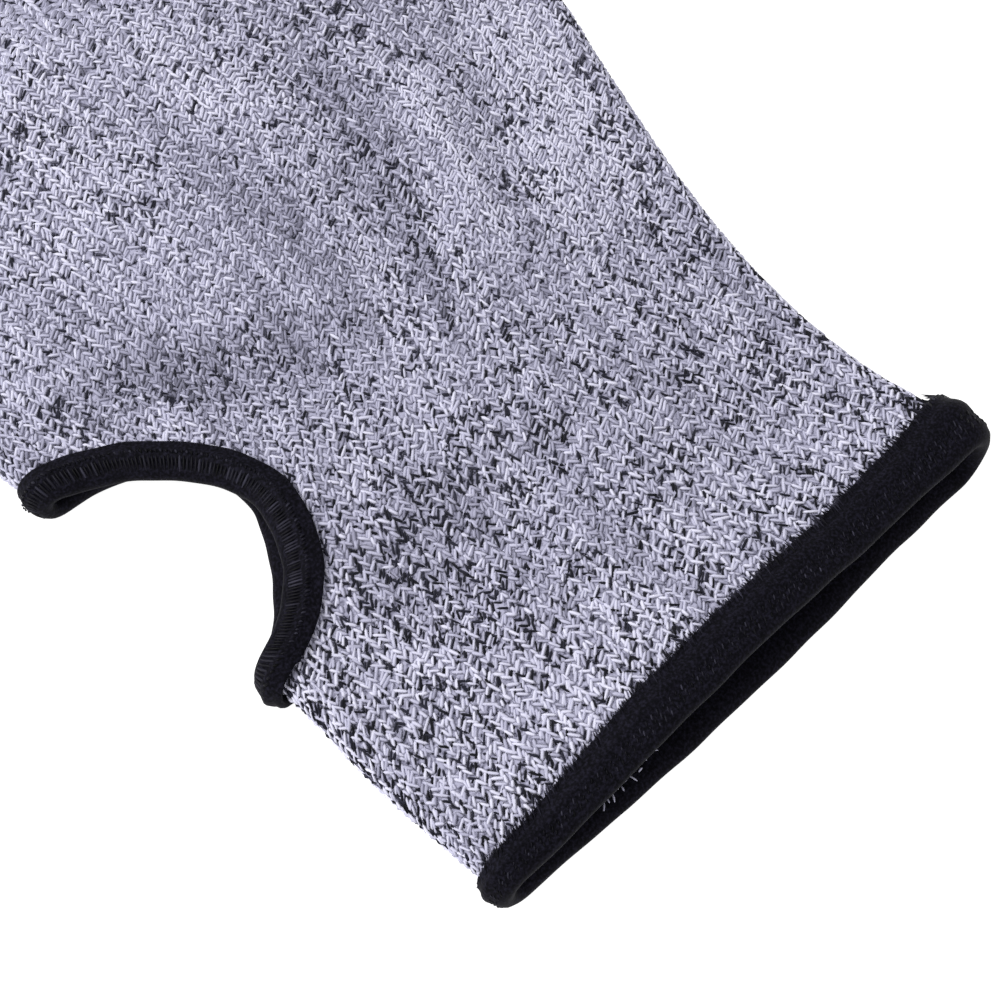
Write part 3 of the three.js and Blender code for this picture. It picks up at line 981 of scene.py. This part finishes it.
def on_tape(band, gathers):
    """Lays strands by their share of the way round a band, their depth and their height on the tape."""
    def place(run, into, off):
        return cloth(*band(run, into), tape_top(into, gathered(gathers, "height", run)) + off)
    return place


def inside_mouth(run, into, off):
    """Lays strands on the inner side of the mouth's tape."""
    return cloth(*hand_band(run, into), -KNIT_WALL / 2 - BEAD - off)


def row_of_threads(name, band, gathers, length, row, material):
    """A row of short threads across a tape, a pitch apart, leaning by a share of their length."""
    into, half_width, height = (row[key] * MM for key in ("into", "half_width", "height"))
    half_length = row["half_length"] * MM
    lean = row["lean"]
    spread = row["spread"]
    rng = np.random.default_rng(len(name) * 7 + round(into / MM * 10))
    count = round(length / (row["pitch"] * MM))
    run = (np.arange(count) + rng.normal(0, PLACE_SPREAD, count)) / count
    along = lean / math.hypot(1, lean)
    across = 1 / math.hypot(1, lean)
    size = half_length * rng.normal(1, spread, count)
    threads = dict(
        a=run,
        b=into + rng.normal(0, spread * half_length * INTO_SPREAD, count),
        da=size * along / length,
        db=size * across,
        wa=half_width * across / length,
        wb=-half_width * along,
        low=height,
        rise=half_width * THREAD_RISE,
        dip=half_width * THREAD_DIP,
        tone=np.clip(rng.normal(THREAD_TONE, THREAD_TONE_SPREAD, count), 0, 1),
    )
    # Threads pressed to the floor would lie in the tape's own face, so they are left off
    place = on_tape(band, gathers)
    shown = place(threads["a"], threads["b"], np.full(count, height))[:, 2] > PRESSED
    threads = {key: value[shown] if np.ndim(value) else value for key, value in threads.items()}
    lay(name, row["form"], threads, place, material)


def bindings(material, thread):
    mouth_length = float(way_round(np.array(0.0)))
    arm_length = float(way_round(np.array(LENGTH)))
    tape("hand_tape", hand_band, MOUTH_GATHERS, mouth_length, 3, "hand_binding", material)
    tape("thumb_tape", thumb_band, THUMB_GATHERS, RIM_LENGTH, 4, "thumb_binding", material)
    tape("arm_tape", arm_band, PLAIN_TAPE, arm_length, 5, "arm_binding", material)
    for name, band, gathers, length in (
        ("hand", hand_band, MOUTH_GATHERS, mouth_length),
        ("arm", arm_band, PLAIN_TAPE, arm_length),
    ):
        row_of_threads(f"{name}_edge_threads", band, gathers, length, EDGE_THREADS, thread)
        for number, into in enumerate(STITCH_ROWS_INTO, 1):
            row = dict(STITCH_ROW, into=into)
            row_of_threads(f"{name}_stitch_row_{number}", band, gathers, length, row, thread)
    row_of_threads("thumb_ribs", thumb_band, THUMB_GATHERS, RIM_LENGTH, THUMB_RIBS, thread)
    row_of_threads("thumb_stitch_row", thumb_band, THUMB_GATHERS, RIM_LENGTH, THUMB_STITCH_ROW, thread)


# Each loose end's share of the way round the mouth and its depth in mm
LOOSE_ENDS = np.array([
    (0.894, 0.0), (0.889, 0.2), (0.885, 0.0), (0.88, 0.5), (0.876, 0.1), (0.871, 0.5), (0.866, 0.2),
    (0.862, 0.7), (0.858, 0.3), (0.849, 1.0), (0.841, 0.8), (0.848, 3.4),
])


def loose_yarn_ends(material):
    """A few curled ends of pale yarn caught in the seam inside the mouth's lower layer."""
    rng = np.random.default_rng(21)
    count = len(LOOSE_ENDS)
    mouth_length = float(way_round(np.array(0.0)))
    heading = rng.uniform(0, math.pi, count)
    size = 0.5 * MM * rng.uniform(0.6, 1.3, count)
    half_width = 0.13 * MM
    ends = dict(
        a=LOOSE_ENDS[:, 0],
        b=LOOSE_ENDS[:, 1] * MM,
        da=size * np.cos(heading) / mouth_length,
        db=size * np.sin(heading),
        wa=half_width * np.sin(heading) / mouth_length,
        wb=-half_width * np.cos(heading),
        low=0.2 * MM,
        rise=0.12 * MM,
        dip=0.25 * MM,
        tone=rng.uniform(0.45, 0.8, count),
    )
    lay("loose_yarn_ends", THREAD, ends, inside_mouth, material)


# Floor, light and camera

FLOOR_HALF_SIZE = 4
PAPER_GLOW = 0.95
SKY_LIGHT = 0.75
PANEL_SIZE = 0.7
PANEL_POWER = 9
PANEL_PLACE = Vector((-0.55, 0.35, 0.7))
PANEL_AIM = Vector((0, -0.1, 0))


def stage_light_and_camera():
    bm = bmesh.new()
    bmesh.ops.create_grid(bm, x_segments=1, y_segments=1, size=FLOOR_HALF_SIZE)
    mesh = bpy.data.meshes.new("floor")
    bm.to_mesh(mesh)
    bm.free()
    floor = bpy.data.objects.new("floor", mesh)
    bpy.context.scene.collection.objects.link(floor)
    # White paper: matt, with a little light of its own, so that it comes out as the photo's plain white
    paper, _ = new_material(
        "white_paper",
        Roughness=1.0,
        Specular_IOR_Level=0.0,
        Emission_Strength=PAPER_GLOW,
        Emission_Color=(1, 1, 1, 1),
        Base_Color=linear("#a0a0a0"),
    )
    mesh.materials.append(paper)

    world = bpy.data.worlds.new("white_studio")
    world.use_nodes = True
    background = world.node_tree.nodes["Background"]
    background.inputs["Color"].default_value = (1, 1, 1, 1)
    background.inputs["Strength"].default_value = SKY_LIGHT
    bpy.context.scene.world = world
    panel = bpy.data.lights.new("soft_panel", "AREA")
    panel.shape = "DISK"
    panel.size = PANEL_SIZE
    panel.energy = PANEL_POWER
    lamp = bpy.data.objects.new("soft_panel", panel)
    bpy.context.scene.collection.objects.link(lamp)
    lamp.location = PANEL_PLACE
    lamp.rotation_mode = "QUATERNION"
    lamp.rotation_quaternion = (PANEL_AIM - PANEL_PLACE).to_track_quat("-Z", "Y")

    data = bpy.data.cameras.new("camera")
    data.lens = CAMERA_LENS
    data.sensor_width = SENSOR
    camera = bpy.data.objects.new("camera", data)
    bpy.context.scene.collection.objects.link(camera)
    level = math.cos(CAMERA_ELEVATION)
    ahead = Vector((
        level * math.cos(CAMERA_HEADING),
        level * math.sin(CAMERA_HEADING),
        -math.sin(CAMERA_ELEVATION),
    ))
    camera.location = CAMERA_PLACE
    camera.rotation_mode = "QUATERNION"
    camera.rotation_quaternion = ahead.to_track_quat("-Z", "Y")
    bpy.context.scene.camera = camera
    bpy.context.scene.view_settings.view_transform = "Standard"


stage_light_and_camera()
yarn = marled_yarn()
knit_stitches(yarn)
shell = knit_shell(knit_ground_with_painted_shade(), purl_side(PURL_WALE / MAPPED_WIDTH, PURL_COURSE / LENGTH))
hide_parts("knit_tube")
sheet_width = float(way_round(np.array(LENGTH)))
bindings(elastic_tape(), sewing_thread())
loose_yarn_ends(yarn)
